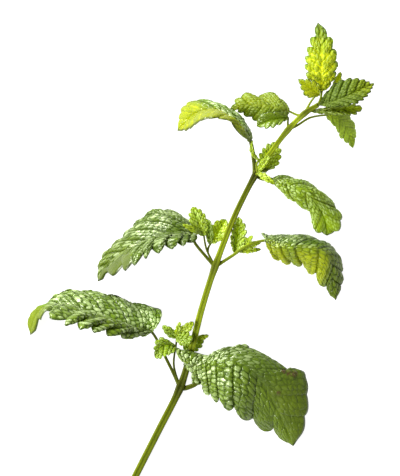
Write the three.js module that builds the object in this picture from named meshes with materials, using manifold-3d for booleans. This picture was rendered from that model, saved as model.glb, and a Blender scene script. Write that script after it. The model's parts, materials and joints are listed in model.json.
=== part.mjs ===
// A cut sprig of lemon balm lying on a table: a square stem, toothed and quilted leaves in pairs, and
// young leafy shoots in the leaf axils. Millimetres, +Z up, +Y from the cut end towards the growing tip.
import * as THREE from 'three';
import Module from 'manifold-3d';

const wasm = await Module();
wasm.setup();

// Driving dimensions
const STEM_WIDTH = 2.9;
const STEM_TIP_WIDTH = 2;
const STALK_WIDTH = 1.4;
const YOUNG_STALK_WIDTH = 1.0;
const BLADE_THICKNESS = 0.7;
const CLEARANCE = 0.3;

// Shares of the stem: the extra width at a node, the node's reach along the stem, the flat part of a side
const NODE_SWELLING = 0.22;
const NODE_REACH = 0.018;
const FLAT_SHARE = 0.62;

// Shares of a leaf: a stalk's width at its end, and how far it runs on under the blade as the midrib's root
const STALK_END_SHARE = 0.7;
const RIB_ROOT_SHARE = 0.14;

// Shares of a blade's half width, then of its edge: tooth depth and lean, arch, quilting, plain base and tip
const TOOTH_DEPTH = 0.14;
const TOOTH_LEAN = 0.07;
const TOOTH_ROUNDNESS = 0.6;
const BLADE_ARCH = 0.1;
const QUILT_HEIGHT = 0.032;
const QUILT_REACH = 0.85;
const PLAIN_BASE = 0.12;
const PLAIN_TIP = 0.06;

// The flat leaf: how full its base is, how its sides curve in, and how its veins sweep forward
const BASE_FULLNESS = 0.8;
const SIDE_POWER = 0.7;
const TIP_POWER = 0.75;
const VEIN_START = 0.1;
const VEIN_SWEEP = 1.5;

// How finely a blade is divided: rows to a tooth and columns to a half, by the blade's half width
const DIVISIONS = [
  { fromHalfWidth: 14, rowsPerTooth: 4, columns: 3 },
  { fromHalfWidth: 10, rowsPerTooth: 3, columns: 3 },
  { fromHalfWidth: 4, rowsPerTooth: 3, columns: 2 },
  { fromHalfWidth: 0, rowsPerTooth: 2, columns: 2 },
];
const YOUNG_HALF_WIDTH = 10;
const STEM_STEPS = 40;
const STALK_STEPS = 7;
const STALK_SIDES = 6;
const CURVE_STEPS = 400;
const SMOOTHING_PASSES = 6;
const LEAST_SLOPE_COSINE = 0.3;

// A half blade is wider than the plan shows: it stands up from the midrib or hangs down from it
const RISES = 1;
const LIFTS = 0.5;
const FALLS = -1;
const SAGS = -0.3;

// Points are [x, y, z], or [x, y] on a leaf's edges in plan
const REST_HEIGHT = STEM_WIDTH / 2;
const CUT_END = [-29.5, -102.5, REST_HEIGHT];
const NODE_1 = [-8, -60, 1.9];
const NODE_2 = [6, -11.5, 11.5];
const NODE_3 = [22, 25, 16];
const NODE_4 = [35, 43, 18.5];
const NODE_5 = [41.5, 49.5, 19.5];
const APEX = [47, 53, 20];
const STEM_PATH = [
  CUT_END,
  [-17, -78, REST_HEIGHT],
  NODE_1,
  [-3.5, -45, 4.5],
  [0.5, -29, 8],
  NODE_2,
  [13.5, 8, 14],
  NODE_3,
  [28.5, 34.5, 17.5],
  NODE_4,
  NODE_5,
  APEX,
];

// The leaves: stalk from the stem to the blade, and midrib, right edge and left edge from base to tip.
// Up to a leaf's levelBase, a share of its edge, its halves level out towards the stalk.
const LEAVES = {
  leaf_1_left: {
    halfWidth: 17,
    teeth: 9,
    levelBase: 0.3,
    lie: [FALLS, RISES],
    stalk: [NODE_1, [-13, -49.5, 3]],
    midrib: [[-19.5, -37.5, 6], [-28, -35, 11], [-37, -32, 13.5], [-45.5, -29, 13.5], [-55, -26.5, 11],
      [-63, -28.6, 8], [-66.3, -32.5, 4.5], [-68, -39, 1.5]],
    right: [[-16, -32.5], [-16.5, -28], [-28, -25.5], [-37, -22.5], [-49.5, -21], [-57.5, -22.4],
      [-61, -26.4], [-63.8, -29.3], [-68.2, -31.2], [-69.3, -34.5]],
    left: [[-24, -39.5], [-31, -40.5], [-41, -38], [-53, -35], [-59.5, -32], [-62.2, -29.8], [-63.3, -31.5],
      [-64, -34], [-65.8, -37]],
  },
  leaf_1_right: {
    halfWidth: 19,
    teeth: 10,
    levelBase: 0.35,
    lie: [FALLS, SAGS],
    stalk: [NODE_1, [-5, -60, 2.2], [-1, -57.5, 3]],
    stalkWidth: 2,
    midrib: [[-3, -51.5, 9], [4, -49, 12], [12, -49, 14], [19, -52, 14], [25.5, -59, 11], [32, -71, 6],
      [37.5, -83.5, 1]],
    right: [[-6.5, -50.5], [-4.5, -55], [-2.5, -58], [2.5, -63], [10.5, -69], [21.5, -75.5], [31, -80.5]],
    left: [[-9, -47], [-8.5, -43.5], [3, -46.5], [13, -43.5], [20, -43], [29, -48.3], [34.8, -51.3],
      [37, -52.2], [39, -51.9], [41.6, -53.2], [42.6, -55.8], [43.8, -62], [42.5, -75.5]],
  },
  leaf_2_left: {
    halfWidth: 15.5,
    teeth: 9,
    lie: [FALLS, RISES],
    stalk: [NODE_2, [2, -7, 12], [-2, -2, 13]],
    midrib: [[-3, 1.5, 14], [-9, 2.5, 16.5], [-17, 1, 17], [-25, -2.5, 15], [-33, -7, 10], [-39, -12, 6],
      [-41, -17.5, 3]],
    right: [[-3, 5], [-9, 10], [-17, 12], [-23, 9], [-31, 1], [-39, -7], [-41, -12]],
    left: [[-1, 0], [-4, -2.5], [-9.5, -4], [-20, -7.5], [-29.5, -13], [-35.5, -15.5]],
  },
  leaf_2_right: {
    halfWidth: 14.5,
    teeth: 9,
    lie: [FALLS, FALLS],
    stalk: [NODE_2, [13, -7, 12], [19, -3, 12.5]],
    midrib: [[26.5, -1, 12], [31, -3, 14], [38, -3.5, 15], [46, -4.5, 14.5], [51, -6.5, 12.5], [53, -12, 8],
      [53, -18.5, 4], [54.5, -25, 1]],
    right: [[29, -5], [32, -9.5], [39, -11], [43, -13], [48, -19], [52, -22.5]],
    left: [[24.5, 2], [29.5, 0.5], [40, 1], [48, -1], [54.5, -5.5], [57, -13.5], [57, -19.5]],
  },
  leaf_3_left: {
    halfWidth: 12,
    teeth: 8,
    lie: [FALLS, RISES],
    stalk: [NODE_3, [21.5, 31, 16.5]],
    stalkWidth: 1.9,
    midrib: [[20, 39, 17], [16, 44.5, 19], [11.5, 48.5, 18], [7, 51, 15.5], [1.5, 51, 11], [-3, 49, 6],
      [-9, 43, 0.4]],
    right: [[21, 40], [19.5, 43], [15, 49.5], [7, 53.5], [-1, 55], [-7, 53], [-9, 47]],
    left: [[19, 39], [16, 41], [10.5, 46.5], [5, 47.5], [0, 46.5], [-5, 43]],
  },
  leaf_3_right: {
    halfWidth: 12,
    teeth: 7,
    lie: [FALLS, FALLS],
    stalk: [NODE_3, [25, 23.5, 15.5]],
    midrib: [[29, 23.5, 15], [35, 21.5, 16.5], [41.5, 18.5, 16], [47, 13, 12], [50, 7.5, 7], [51, 1, 2]],
    right: [[30.5, 22], [34.5, 17.6], [39.5, 13.2], [44.2, 10.2], [45.2, 5.5], [45.5, 2.5]],
    left: [[30.5, 24.5], [37, 24], [45, 21], [52, 15.5], [57, 9.5], [56, 3]],
  },
  leaf_4_left: {
    halfWidth: 5,
    teeth: 5,
    lie: [RISES, RISES],
    stalk: [NODE_4, [35, 46, 19.5]],
    midrib: [[35, 48, 20.5], [32, 48, 22], [28, 47, 22.5], [22.5, 44.5, 21]],
    right: [[33.5, 50], [27, 50], [23, 48.5]],
    left: [[34, 46.5], [32, 45], [28.5, 43.5], [25, 43.5]],
  },
  leaf_4_right: {
    halfWidth: 8.5,
    teeth: 6,
    lie: [FALLS, FALLS],
    stalk: [NODE_4, [39, 45, 18], [44, 48, 17.5]],
    midrib: [[50.5, 49, 17], [54.5, 48, 16], [58, 45, 11], [60, 41, 5.5], [61.5, 36, 0.4]],
    right: [[51.5, 47.5], [53.5, 45.5], [55, 43], [56, 40.5], [59, 38]],
    left: [[51, 50.5], [57, 50], [60, 48.5], [62, 45], [62.5, 40.5]],
  },
  leaf_5_left: {
    halfWidth: 8,
    teeth: 7,
    lie: [FALLS, FALLS],
    stalk: [NODE_5, [39, 49, 19.5]],
    midrib: [[35.5, 50.5, 19.5], [29, 52.5, 20], [23, 53, 20], [17, 52.5, 19], [12, 51.5, 17]],
    right: [[33.5, 54], [31, 57], [28.5, 58.5], [22, 57], [18, 58], [14, 55.5]],
    left: [[33.5, 48], [29, 46.5], [22.5, 46.5], [18, 48.5], [14.5, 50.5]],
  },
  leaf_6_up: {
    halfWidth: 9.5,
    teeth: 8,
    lie: [SAGS, SAGS],
    stalk: [APEX, [48, 55.5, 21]],
    midrib: [[48.5, 58.5, 21.5], [48.5, 65, 23.5], [48.5, 71, 24], [48, 78.5, 22.5], [47, 86, 19]],
    right: [[49.5, 59.5], [52.5, 61.5], [54.5, 65.5], [55, 71.5], [53, 79], [50.5, 83]],
    left: [[47, 59], [43, 63], [41.5, 69], [42.5, 76], [45, 82.5]],
  },
  leaf_6_right: {
    halfWidth: 9,
    teeth: 7,
    lie: [LIFTS, SAGS],
    stalk: [APEX],
    midrib: [[47.8, 53.2, 20.8], [55, 55, 23], [61.5, 58, 23], [69.5, 61.5, 20]],
    right: [[51, 52], [58, 52.3], [63, 53.5], [66.5, 56], [68.7, 59.2]],
    left: [[49.5, 56.5], [52.5, 61], [56, 63], [60.5, 64], [65.5, 63.3]],
  },
};

// Half the outline of a small leaf by share of its length, as shares of its half width
const YOUNG_OUTLINE = [[0.08, 0.5], [0.34, 1], [0.64, 0.95], [0.88, 0.6]];
const POINTED_OUTLINE = [[0.08, 0.5], [0.34, 1], [0.64, 0.75], [0.88, 0.3]];
const FAN_OUTLINE = [[0.1, 0.35], [0.4, 0.7], [0.75, 1], [0.93, 0.7]];

// The young shoots: stalks, and small leaves from base to tip. show is the share of the right and left
// half width that the plan shows, bow lifts the midrib and bend bows it sideways.
const SHOOTS = {
  shoot_1_left: {
    stalks: [[NODE_1, [-10.5, -51, 4], [-9.5, -42, 6], [-9.5, -39, 7]]],
    leaves: [
      { base: [-9.7, -43.5, 5.7], tip: [-18, -48, 8], halfWidth: 4.8, show: [0.75, 0.9], bow: 3, bend: 0.3 },
      { base: [-9.5, -40, 6.5], tip: [-15, -35, 9], halfWidth: 2.2, show: [0.8, 0.8] },
      { base: [-9.5, -40, 6.5], tip: [-2.5, -33.5, 10], halfWidth: 2.2, show: [0.9, 0.9] },
      { base: [-9.5, -39.5, 7], tip: [-8, -33.5, 10.5], halfWidth: 1.4, show: [0.8, 0.8] },
      { base: [-9.5, -40.5, 6.7], tip: [-2.8, -40, 9.5], halfWidth: 3.4, show: [0.9, 0.8] },
    ],
  },
  shoot_1_right: {
    stalks: [[NODE_1, [-6.3, -54, 0.9], [-5.2, -48, 1], [-4.5, -43.5, 1.4], [-1.5, -41, 1.4]]],
    leaves: [
      { base: [-6.5, -44.5, 1.4], tip: [1.5, -40.5, 1.2], halfWidth: 3.6, show: [0.9, 0.9], bow: 0.3 },
      { base: [-2, -41, 1.4], tip: [3.5, -39, 2.5], halfWidth: 1.4, show: [0.8, 0.8] },
    ],
  },
  shoot_2_left: {
    stalks: [
      [NODE_2, [3, -5.5, 13], [2, -2, 14.5], [1.5, 1.5, 16]],
      [[3, -5.5, 13], [3.5, -3.5, 12.5], [4.5, -2, 12]],
    ],
    leaves: [
      { base: [1.5, 1, 15.8], tip: [-3, 12.5, 22], halfWidth: 4.4, show: [0.85, 0.8], teeth: 5 },
      { base: [1.5, 1.5, 16], tip: [-7, 5.5, 23], halfWidth: 1.4, show: [0.7, 0.8] },
      { base: [4, -2.5, 12.2], tip: [3.5, 7.5, 14], halfWidth: 2.2, show: [0.7, 0.7] },
      { base: [4.5, -2, 12], tip: [10.5, 7.5, 7], halfWidth: 4, show: [0.8, 0.95] },
    ],
  },
  shoot_2_right: {
    stalks: [[NODE_2, [11, -8.5, 10.5], [14.5, -6, 9.5], [17.5, -3.5, 9.5]]],
    leaves: [
      { base: [14, -6, 9.6], tip: [15.5, 8.5, 8], halfWidth: 5, show: [0.8, 0.5], teeth: 5 },
      { base: [15.5, -5.3, 9.5], tip: [24.5, -4.5, 8], halfWidth: 1.8, show: [0.6, 0.6] },
      { base: [17, -4, 9.5], tip: [21, 1, 13], halfWidth: 1.3, show: [0.85, 0.85] },
      { base: [17.3, -3.8, 9.5], tip: [24.5, -1.5, 9.5], halfWidth: 1.5, show: [0.8, 0.8] },
    ],
  },
  shoot_3: {
    stalks: [
      [[25, 27, 13], [26.3, 26.5, 15.8], [25, 26.5, 18.6], [23, 26.3, 18.9]],
      [NODE_3, [23, 26, 18.5], [22.5, 29, 19.5], [23.5, 31.5, 20]],
    ],
    leaves: [
      { base: [25, 27, 13], tip: [30.5, 38.5, 13], halfWidth: 5, show: [0.95, 0.8], teeth: 5 },
      { base: [23, 26.5, 18.7], tip: [27.5, 33, 21.5], halfWidth: 1.8, show: [0.8, 0.8] },
      { base: [23, 26.2, 18.6], tip: [30, 21.5, 20], halfWidth: 2, show: [0.7, 0.6] },
      { base: [23.5, 31, 20], tip: [21, 39, 21], halfWidth: 1.2, show: [0.6, 0.6], bend: -0.2 },
    ],
  },
  tip_leaf_left: {
    stalks: [[NODE_5, [44, 54, 20.5], [46, 56.5, 22], [47.5, 57, 22.5]]],
    leaves: [
      {
        base: [47.5, 57, 22.5], tip: [39, 63.2, 25], halfWidth: 4.2, show: [0.85, 0.95],
        outline: POINTED_OUTLINE,
      },
    ],
  },
  tip_leaf_low: {
    stalks: [[[42.5, 50.3, 19.7], [44, 50.5, 19.6], [45.5, 50.8, 19.5]]],
    leaves: [
      {
        base: [44.5, 50.5, 19.5], tip: [64.8, 51.8, 18], halfWidth: 4, show: [0.7, 0.5], teeth: 6,
        outline: FAN_OUTLINE,
      },
    ],
  },
  tip_leaf_back: {
    stalks: [[[46, 52.5, 19.5], [49, 55.5, 17.5], [52, 58, 17], [53.5, 59, 17]]],
    leaves: [{ base: [53.2, 58.5, 17], tip: [56.2, 66.3, 16.5], halfWidth: 1.9, show: [0.75, 0.75] }],
  },
};

// Materials
const material = (color, roughness) => new THREE.MeshStandardMaterial({ color, roughness, metalness: 0 });
const STEM_GREEN = material(0x8a9a2c, 0.55);
const LEAF_GREEN = material(0x557a22, 0.45);
const YOUNG_GREEN = material(0x9db52f, 0.5);
const YOUNG_LEAVES = ['leaf_4_left', 'leaf_6_up'];

// Curves and solids
const UP = new THREE.Vector3(0, 0, 1);
const vector = ([x, y, z = 0]) => new THREE.Vector3(x, y, z);

function smoothCurve(points) {
  const curve = new THREE.CatmullRomCurve3(points, false, 'catmullrom', 0.5);
  curve.arcLengthDivisions = CURVE_STEPS;
  return curve;
}

function solidFrom(points, triangles) {
  const vertProperties = new Float32Array(points.flatMap((point) => point.toArray()));
  const triVerts = new Uint32Array(triangles.flat());
  return new wasm.Manifold(new wasm.Mesh({ numProp: 3, vertProperties, triVerts }));
}

const join = (solids) => solids.reduce((whole, solid) => whole.add(solid));

const largestPiece = (solid) => solid.decompose().sort((a, b) => b.volume() - a.volume())[0];

// A rod swept along a curve: section holds unit points, halfWidthAt gives the size at a share of the length
function rod(path, section, steps, halfWidthAt, lowest = 0) {
  const curve = smoothCurve(path.map(vector));
  const sides = section.length;
  const points = [];
  const triangles = [];
  for (let step = 0; step <= steps; step += 1) {
    const share = step / steps;
    const centre = curve.getPointAt(share);
    const along = curve.getTangentAt(share);
    const across = new THREE.Vector3(along.y, -along.x, 0).normalize();
    const up = across.clone().cross(along);
    const half = halfWidthAt(share);
    centre.z = Math.max(centre.z, lowest);
    for (const [x, y] of section) {
      points.push(centre.clone().addScaledVector(across, half * x).addScaledVector(up, half * y));
    }
  }
  for (let step = 0; step < steps; step += 1) {
    for (let side = 0; side < sides; side += 1) {
      const a = step * sides + side;
      const b = step * sides + ((side + 1) % sides);
      triangles.push([a, b + sides, b], [a, a + sides, b + sides]);
    }
  }
  const last = steps * sides;
  for (let side = 1; side < sides - 1; side += 1) {
    triangles.push([0, side, side + 1], [last, last + side + 1, last + side]);
  }
  return solidFrom(points, triangles);
}

// Sections: a square with bevelled corners, and a circle
const SQUARE_SECTION = [[FLAT_SHARE, -1], [1, -FLAT_SHARE], [1, FLAT_SHARE], [FLAT_SHARE, 1],
  [-FLAT_SHARE, 1], [-1, FLAT_SHARE], [-1, -FLAT_SHARE], [-FLAT_SHARE, -1]];
const ROUND_SECTION = Array.from({ length: STALK_SIDES }, (unused, side) => {
  const angle = (2 * Math.PI * side) / STALK_SIDES;
  return [Math.cos(angle), Math.sin(angle)];
});

// The stem: square, tapering above the first pair of leaves, swollen where leaves leave it
function stem(grow) {
  const curve = smoothCurve(STEM_PATH.map(vector));
  const shareOf = (point) => {
    const target = vector(point);
    const shares = Array.from({ length: CURVE_STEPS + 1 }, (unused, step) => step / CURVE_STEPS);
    const distance = (share) => curve.getPointAt(share).distanceTo(target);
    return shares.reduce((best, share) => (distance(share) < distance(best) ? share : best), 0);
  };
  const nodeShares = [NODE_1, NODE_2, NODE_3, NODE_4, NODE_5].map(shareOf);
  const halfWidthAt = (share) => {
    const taper = Math.max(0, share - nodeShares[0]) / (1 - nodeShares[0]);
    const swellings = nodeShares.map((node) => Math.exp(-(((share - node) / NODE_REACH) ** 2)));
    const swollen = 1 + NODE_SWELLING * Math.max(...swellings);
    return (THREE.MathUtils.lerp(STEM_WIDTH, STEM_TIP_WIDTH, taper) / 2) * swollen + grow;
  };
  return rod(STEM_PATH, SQUARE_SECTION, STEM_STEPS, halfWidthAt, REST_HEIGHT);
}

function stalk(path, width, grow = 0) {
  const halfWidthAt = (share) => (width / 2) * THREE.MathUtils.lerp(1, STALK_END_SHARE, share) + grow;
  return rod(path, ROUND_SECTION, STALK_STEPS, halfWidthAt);
}

// A vein that ends at a share of the edge starts at this share of the midrib
const veinStart = (share) => Math.max(0, (share - VEIN_START) / (1 - VEIN_START)) ** VEIN_SWEEP;

// The length of that vein on the flat leaf, which is ovate with a rounded base
function veinLength(share, length, halfWidth) {
  const forward = (length * (1 - Math.cos(Math.PI * share))) / 2;
  const outward = halfWidth * Math.sin(Math.PI * share ** BASE_FULLNESS) ** (SIDE_POWER + TIP_POWER * share);
  return Math.hypot(forward - length * veinStart(share), outward);
}

// The toothed edge of one half blade, with the place on the midrib that each of its points is ruled from
function bladeEdge(leaf, side, rows) {
  const midrib = smoothCurve(leaf.midrib.map(vector));
  const length = midrib.getLength();
  const [base, tip] = [leaf.midrib[0], leaf.midrib.at(-1)];
  const inPlan = ([x, y]) => new THREE.Vector3(x, y, 0);
  const outline = smoothCurve([base, ...(side > 0 ? leaf.right : leaf.left), tip].map(inPlan));
  const lie = leaf.lie[side > 0 ? 0 : 1];
  const shares = Array.from({ length: rows + 1 }, (unused, row) => row / rows);
  const ribs = shares.map((share) => midrib.getPointAt(veinStart(share)));
  const edges = shares.map((share) => outline.getPointAt(share));
  let heights = shares.map((share, row) => {
    const seen = Math.hypot(edges[row].x - ribs[row].x, edges[row].y - ribs[row].y);
    return Math.sqrt(Math.max(0, veinLength(share, length, leaf.halfWidth) ** 2 - seen ** 2));
  });
  for (let pass = 0; pass < SMOOTHING_PASSES; pass += 1) {
    heights = heights.map((height, row) =>
      row === 0 || row === rows ? 0 : (heights[row - 1] + 2 * height + heights[row + 1]) / 4);
  }
  edges.forEach((edge, row) => {
    const levelled = leaf.levelBase ? THREE.MathUtils.smoothstep(shares[row], 0, leaf.levelBase) : 1;
    edge.setZ(ribs[row].z + lie * levelled * heights[row]);
  });
  return shares.map((share, row) => {
    const lobe = Math.abs(Math.sin(Math.PI * share * leaf.teeth)) ** TOOTH_ROUNDNESS;
    const size = leaf.halfWidth * Math.min(1, share / PLAIN_BASE) * Math.min(1, (1 - share) / PLAIN_TIP);
    const ahead = edges[Math.min(rows, row + 1)].clone().sub(edges[Math.max(0, row - 1)]).normalize();
    const vein = edges[row].clone().sub(ribs[row]);
    const cut = Math.min(TOOTH_DEPTH * size * (1 - lobe), vein.length() / 2);
    const edge = edges[row].clone().addScaledVector(vein.normalize(), -cut);
    edge.addScaledVector(ahead, TOOTH_LEAN * size * lobe);
    return { rib: ribs[row], edge, ribShare: veinStart(share), along: midrib.getTangentAt(veinStart(share)) };
  });
}

// The middle surface of a blade: points, and triangles that face the leaf's upper side
function bladeSurface(leaf) {
  const { rowsPerTooth, columns } = DIVISIONS.find(({ fromHalfWidth }) => leaf.halfWidth >= fromHalfWidth);
  const rows = leaf.teeth * rowsPerTooth;
  const length = smoothCurve(leaf.midrib.map(vector)).getLength();
  const points = [];
  const triangles = [];
  const place = (point) => points.push(point.setZ(Math.max(point.z, BLADE_THICKNESS / 2))) - 1;
  const sides = [1, -1].map((side) => bladeEdge(leaf, side, rows));
  const base = place(sides[0][0].rib.clone());
  const tip = place(sides[0][rows].rib.clone());
  const ribIds = sides[0].map(({ rib, ribShare }, row) => {
    if (row === rows) return tip;
    return ribShare * length < STALK_WIDTH / 2 ? base : place(rib.clone());
  });
  sides.forEach((edges, index) => {
    const side = index === 0 ? 1 : -1;
    const ids = edges.map(({ edge, along }, row) => {
      if (row === 0 || row === rows) return Array(columns + 1).fill(ribIds[row]);
      const rib = points[ribIds[row]];
      const vein = edge.clone().sub(rib);
      const normal = leaf.folded ? UP.clone() : vein.clone().cross(along).multiplyScalar(side).normalize();
      const fullness = Math.min(1, vein.length() / leaf.halfWidth);
      const blister = leaf.halfWidth * fullness * Math.sin((Math.PI * row) / rowsPerTooth) ** 2;
      return Array.from({ length: columns + 1 }, (unused, column) => {
        if (column === 0) return ribIds[row];
        const share = column / columns;
        const arch = BLADE_ARCH * vein.length() * 4 * share * (1 - share);
        const quilt = QUILT_HEIGHT * blister * Math.sin(Math.PI * QUILT_REACH * share);
        return place(rib.clone().addScaledVector(vein, share).addScaledVector(normal, arch + quilt));
      });
    });
    for (let row = 0; row < rows; row += 1) {
      for (let column = 0; column < columns; column += 1) {
        const [near, far] = [ids[row], ids[row + 1]];
        const first = [near[column], near[column + 1], far[column + 1]];
        const second = [near[column], far[column + 1], far[column]];
        for (const triangle of [first, second]) {
          if (new Set(triangle).size === 3) triangles.push(side > 0 ? triangle : triangle.reverse());
        }
      }
    }
  });
  return { points, triangles };
}

// A blade of even thickness. A large one is thickened square to its surface, and a small folded one straight
// up and down, because its two halves stand too close together for the other way.
function blade(leaf) {
  const { points, triangles } = bladeSurface(leaf);
  const count = points.length;
  const normals = points.map(() => new THREE.Vector3());
  for (const [a, b, c] of triangles) {
    const facing = points[b].clone().sub(points[a]).cross(points[c].clone().sub(points[a])).normalize();
    [a, b, c].forEach((id) => normals[id].add(facing));
  }
  normals.forEach((normal) => {
    normal.normalize();
    const slopeCosine = Math.max(normal.z, LEAST_SLOPE_COSINE);
    if (leaf.folded) normal.copy(UP).divideScalar(slopeCosine);
  });
  const offset = (sign) => points.map((point, id) =>
    point.clone().addScaledVector(normals[id], (sign * BLADE_THICKNESS) / 2));
  const faces = triangles.flatMap(([a, b, c]) => [[a, b, c], [a + count, c + count, b + count]]);
  const edges = new Set(triangles.flatMap(([a, b, c]) => [`${a} ${b}`, `${b} ${c}`, `${c} ${a}`]));
  for (const edge of edges) {
    const [a, b] = edge.split(' ').map(Number);
    if (!edges.has(`${b} ${a}`)) faces.push([b, a, a + count], [b, a + count, b + count]);
  }
  return solidFrom([...offset(1), ...offset(-1)], faces);
}

// A leaf's stalk runs on into the blade as the root of its midrib
function leafStalkPath(leaf) {
  const midrib = smoothCurve(leaf.midrib.map(vector));
  const root = midrib.getPointAt(RIB_ROOT_SHARE);
  return [...leaf.stalk, leaf.midrib[0], root.toArray()];
}

// A small leaf of a shoot, in the form of the large ones
function youngLeaf({ base, tip, halfWidth, show, bow = 1, bend = 0, teeth = 4, outline = YOUNG_OUTLINE }) {
  const from = vector(base);
  const run = vector(tip).sub(from);
  const flat = Math.hypot(run.x, run.y);
  const right = new THREE.Vector3(run.y / flat, -run.x / flat, 0);
  const ribAt = (share) => {
    const swell = 4 * share * (1 - share);
    const point = from.clone().addScaledVector(run, share).addScaledVector(right, bend * flat * swell);
    return point.setZ(point.z + bow * swell);
  };
  const edge = (side, shown) => outline.map(([share, width]) =>
    ribAt(share).addScaledVector(right, side * halfWidth * shown * width).toArray());
  return {
    folded: true,
    halfWidth,
    teeth,
    lie: [RISES, RISES],
    midrib: [0, 1 / 3, 2 / 3, 1].map((share) => ribAt(share).toArray()),
    right: edge(1, show[0]),
    left: edge(-1, show[1]),
  };
}

// The pieces: what grows from the stem is cut back to a small gap round it and round earlier stalks
let taken = stem(CLEARANCE);
const pieces = [['main_stem', stem(0), STEM_GREEN]];
for (const [name, leaf] of Object.entries(LEAVES)) {
  const path = leafStalkPath(leaf);
  const width = leaf.stalkWidth ?? (leaf.halfWidth < YOUNG_HALF_WIDTH ? YOUNG_STALK_WIDTH : STALK_WIDTH);
  const finish = YOUNG_LEAVES.includes(name) ? YOUNG_GREEN : LEAF_GREEN;
  const whole = stalk(path, width).add(blade(leaf));
  pieces.push([name, largestPiece(whole.subtract(taken)), finish]);
  taken = taken.add(stalk(path, width, CLEARANCE));
}
for (const [name, shoot] of Object.entries(SHOOTS)) {
  const stalks = shoot.stalks.map((path) => stalk(path, YOUNG_STALK_WIDTH));
  const blades = shoot.leaves.map((leaf) => blade(youngLeaf(leaf)));
  pieces.push([name, largestPiece(join([...stalks, ...blades]).subtract(taken)), YOUNG_GREEN]);
}

// The sprig, with its origin on the table under the middle of its plan
const sprig = new THREE.Group();
for (const [name, solid, finish] of pieces) {
  const { vertProperties, triVerts } = solid.getMesh();
  const geometry = new THREE.BufferGeometry();
  geometry.setAttribute('position', new THREE.BufferAttribute(vertProperties, 3));
  geometry.setIndex(new THREE.BufferAttribute(triVerts, 1));
  geometry.computeVertexNormals();
  const mesh = new THREE.Mesh(geometry, finish);
  mesh.name = name;
  sprig.add(mesh);
}
const box = new THREE.Box3().setFromObject(sprig);
const centre = box.getCenter(new THREE.Vector3());
sprig.position.set(-centre.x, -centre.y, -box.min.z);

const part = new THREE.Group();
part.add(sprig);

export default part;
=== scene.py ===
"""A cut sprig of lemon balm on a pale table: quilted, toothed leaves, young shoots and a square stem.

Points are in millimetres, with +Y from the cut end towards the growing tip.
"""
import json

import bpy
import numpy as np
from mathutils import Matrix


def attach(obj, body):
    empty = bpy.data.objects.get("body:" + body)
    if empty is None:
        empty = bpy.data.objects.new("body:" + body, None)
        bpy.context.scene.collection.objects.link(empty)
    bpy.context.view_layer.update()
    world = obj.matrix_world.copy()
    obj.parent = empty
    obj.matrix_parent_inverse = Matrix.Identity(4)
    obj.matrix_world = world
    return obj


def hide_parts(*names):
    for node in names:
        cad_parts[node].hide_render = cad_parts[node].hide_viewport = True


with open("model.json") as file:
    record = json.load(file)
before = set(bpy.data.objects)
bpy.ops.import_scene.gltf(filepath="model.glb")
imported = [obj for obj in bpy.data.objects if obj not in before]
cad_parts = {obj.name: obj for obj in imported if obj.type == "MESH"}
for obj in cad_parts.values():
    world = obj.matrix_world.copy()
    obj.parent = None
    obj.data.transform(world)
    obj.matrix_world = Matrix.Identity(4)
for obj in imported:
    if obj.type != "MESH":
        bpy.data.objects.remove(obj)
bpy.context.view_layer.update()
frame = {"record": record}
scene = bpy.context.scene

# Driving dimensions in millimetres, as in the part's source but for the thinner blade
METRES = 0.001
STEM_WIDTH = 2.9
STEM_TIP_WIDTH = 2.0
STALK_WIDTH = 1.4
YOUNG_STALK_WIDTH = 1.0
BLADE_THICKNESS = 0.36

# The stem: its swelling, dark stain and ring at each node, how finely it is divided, and its square section
NODE_SWELLING = 0.22
NODE_REACH = 0.018
NODE_STAIN_REACH = 1.3
NODE_RING = 0.05
NODE_RING_REACH = 0.0035
NODE_SEARCH_STEPS = 2001
STEM_SIDES = 48
STEM_STEPS = 420
SQUARENESS = 4.5
FACE_GROOVE = 0.1
FACE_GROOVE_WIDTH = 0.34

# How light the stem is, by nodes passed from the cut end; the rise at 1.3 nodes is painted light over the
# shadow that a young leaf casts there
STEM_TONES = [
    (0, 0.58), (0.75, 0.56), (1, 0.34), (1.2, 0.42), (1.3, 1.05), (1.5, 1.25), (2, 1.2), (2.3, 0.95),
    (2.5, 0.62), (2.7, 0.48), (3, 0.33), (3.2, 1), (3.7, 1.2), (4, 2), (4.3, 1.7), (4.8, 1.4), (5.2, 0.75),
    (6, 0.9),
]

# A stalk: its taper, its root under the blade, its divisions, the channel along its top and its flare
STALK_END_SHARE = 0.7
RIB_ROOT_SHARE = 0.14
ROOT_DROP = 0.9
STALK_SIDES = 16
STALK_STEPS = 40
CHANNEL_DEPTH = 0.22
CHANNEL_WIDTH = 0.45
STALK_FLARE = 0.3
STALK_FLARE_REACH = 0.07

# Teeth: depth and lean by half width, their form, how notches are cut, and the ends where teeth fade out
TOOTH_DEPTH = 0.14
TOOTH_LEAN = 0.04
TOOTH_POINT = 0.6
TOOTH_SKEW = 1.15
CUT_SQUARENESS = 0.8
DEEPEST_NOTCH = 0.35
MOST_FORESHORTENING = 2.2
LEAST_BITE = 0.8
BITE_SPREAD = 0.4
PLAIN_BASE = 0.12
PLAIN_TIP = 0.06

# The form of a half blade, by its width: its arch, and its swell between two side veins
BLADE_ARCH = 0.1
QUILT_HEIGHT = 0.024
QUILT_REACH = 0.85

# The flat leaf: how full its base is, how its sides curve in, and how its veins sweep forward
BASE_FULLNESS = 0.8
SIDE_POWER = 0.7
TIP_POWER = 0.75
VEIN_START = 0.1
VEIN_SWEEP = 1.5

# How finely a blade is divided: rows to a tooth, smoothed over and drawn, and columns to a half
DIVISIONS = [
    dict(from_half_width=14, smooth_rows=4, drawn_rows=24, columns=52),
    dict(from_half_width=10, smooth_rows=3, drawn_rows=21, columns=42),
    dict(from_half_width=4, smooth_rows=3, drawn_rows=16, columns=24),
    dict(from_half_width=0, smooth_rows=2, drawn_rows=12, columns=12),
]

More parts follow.
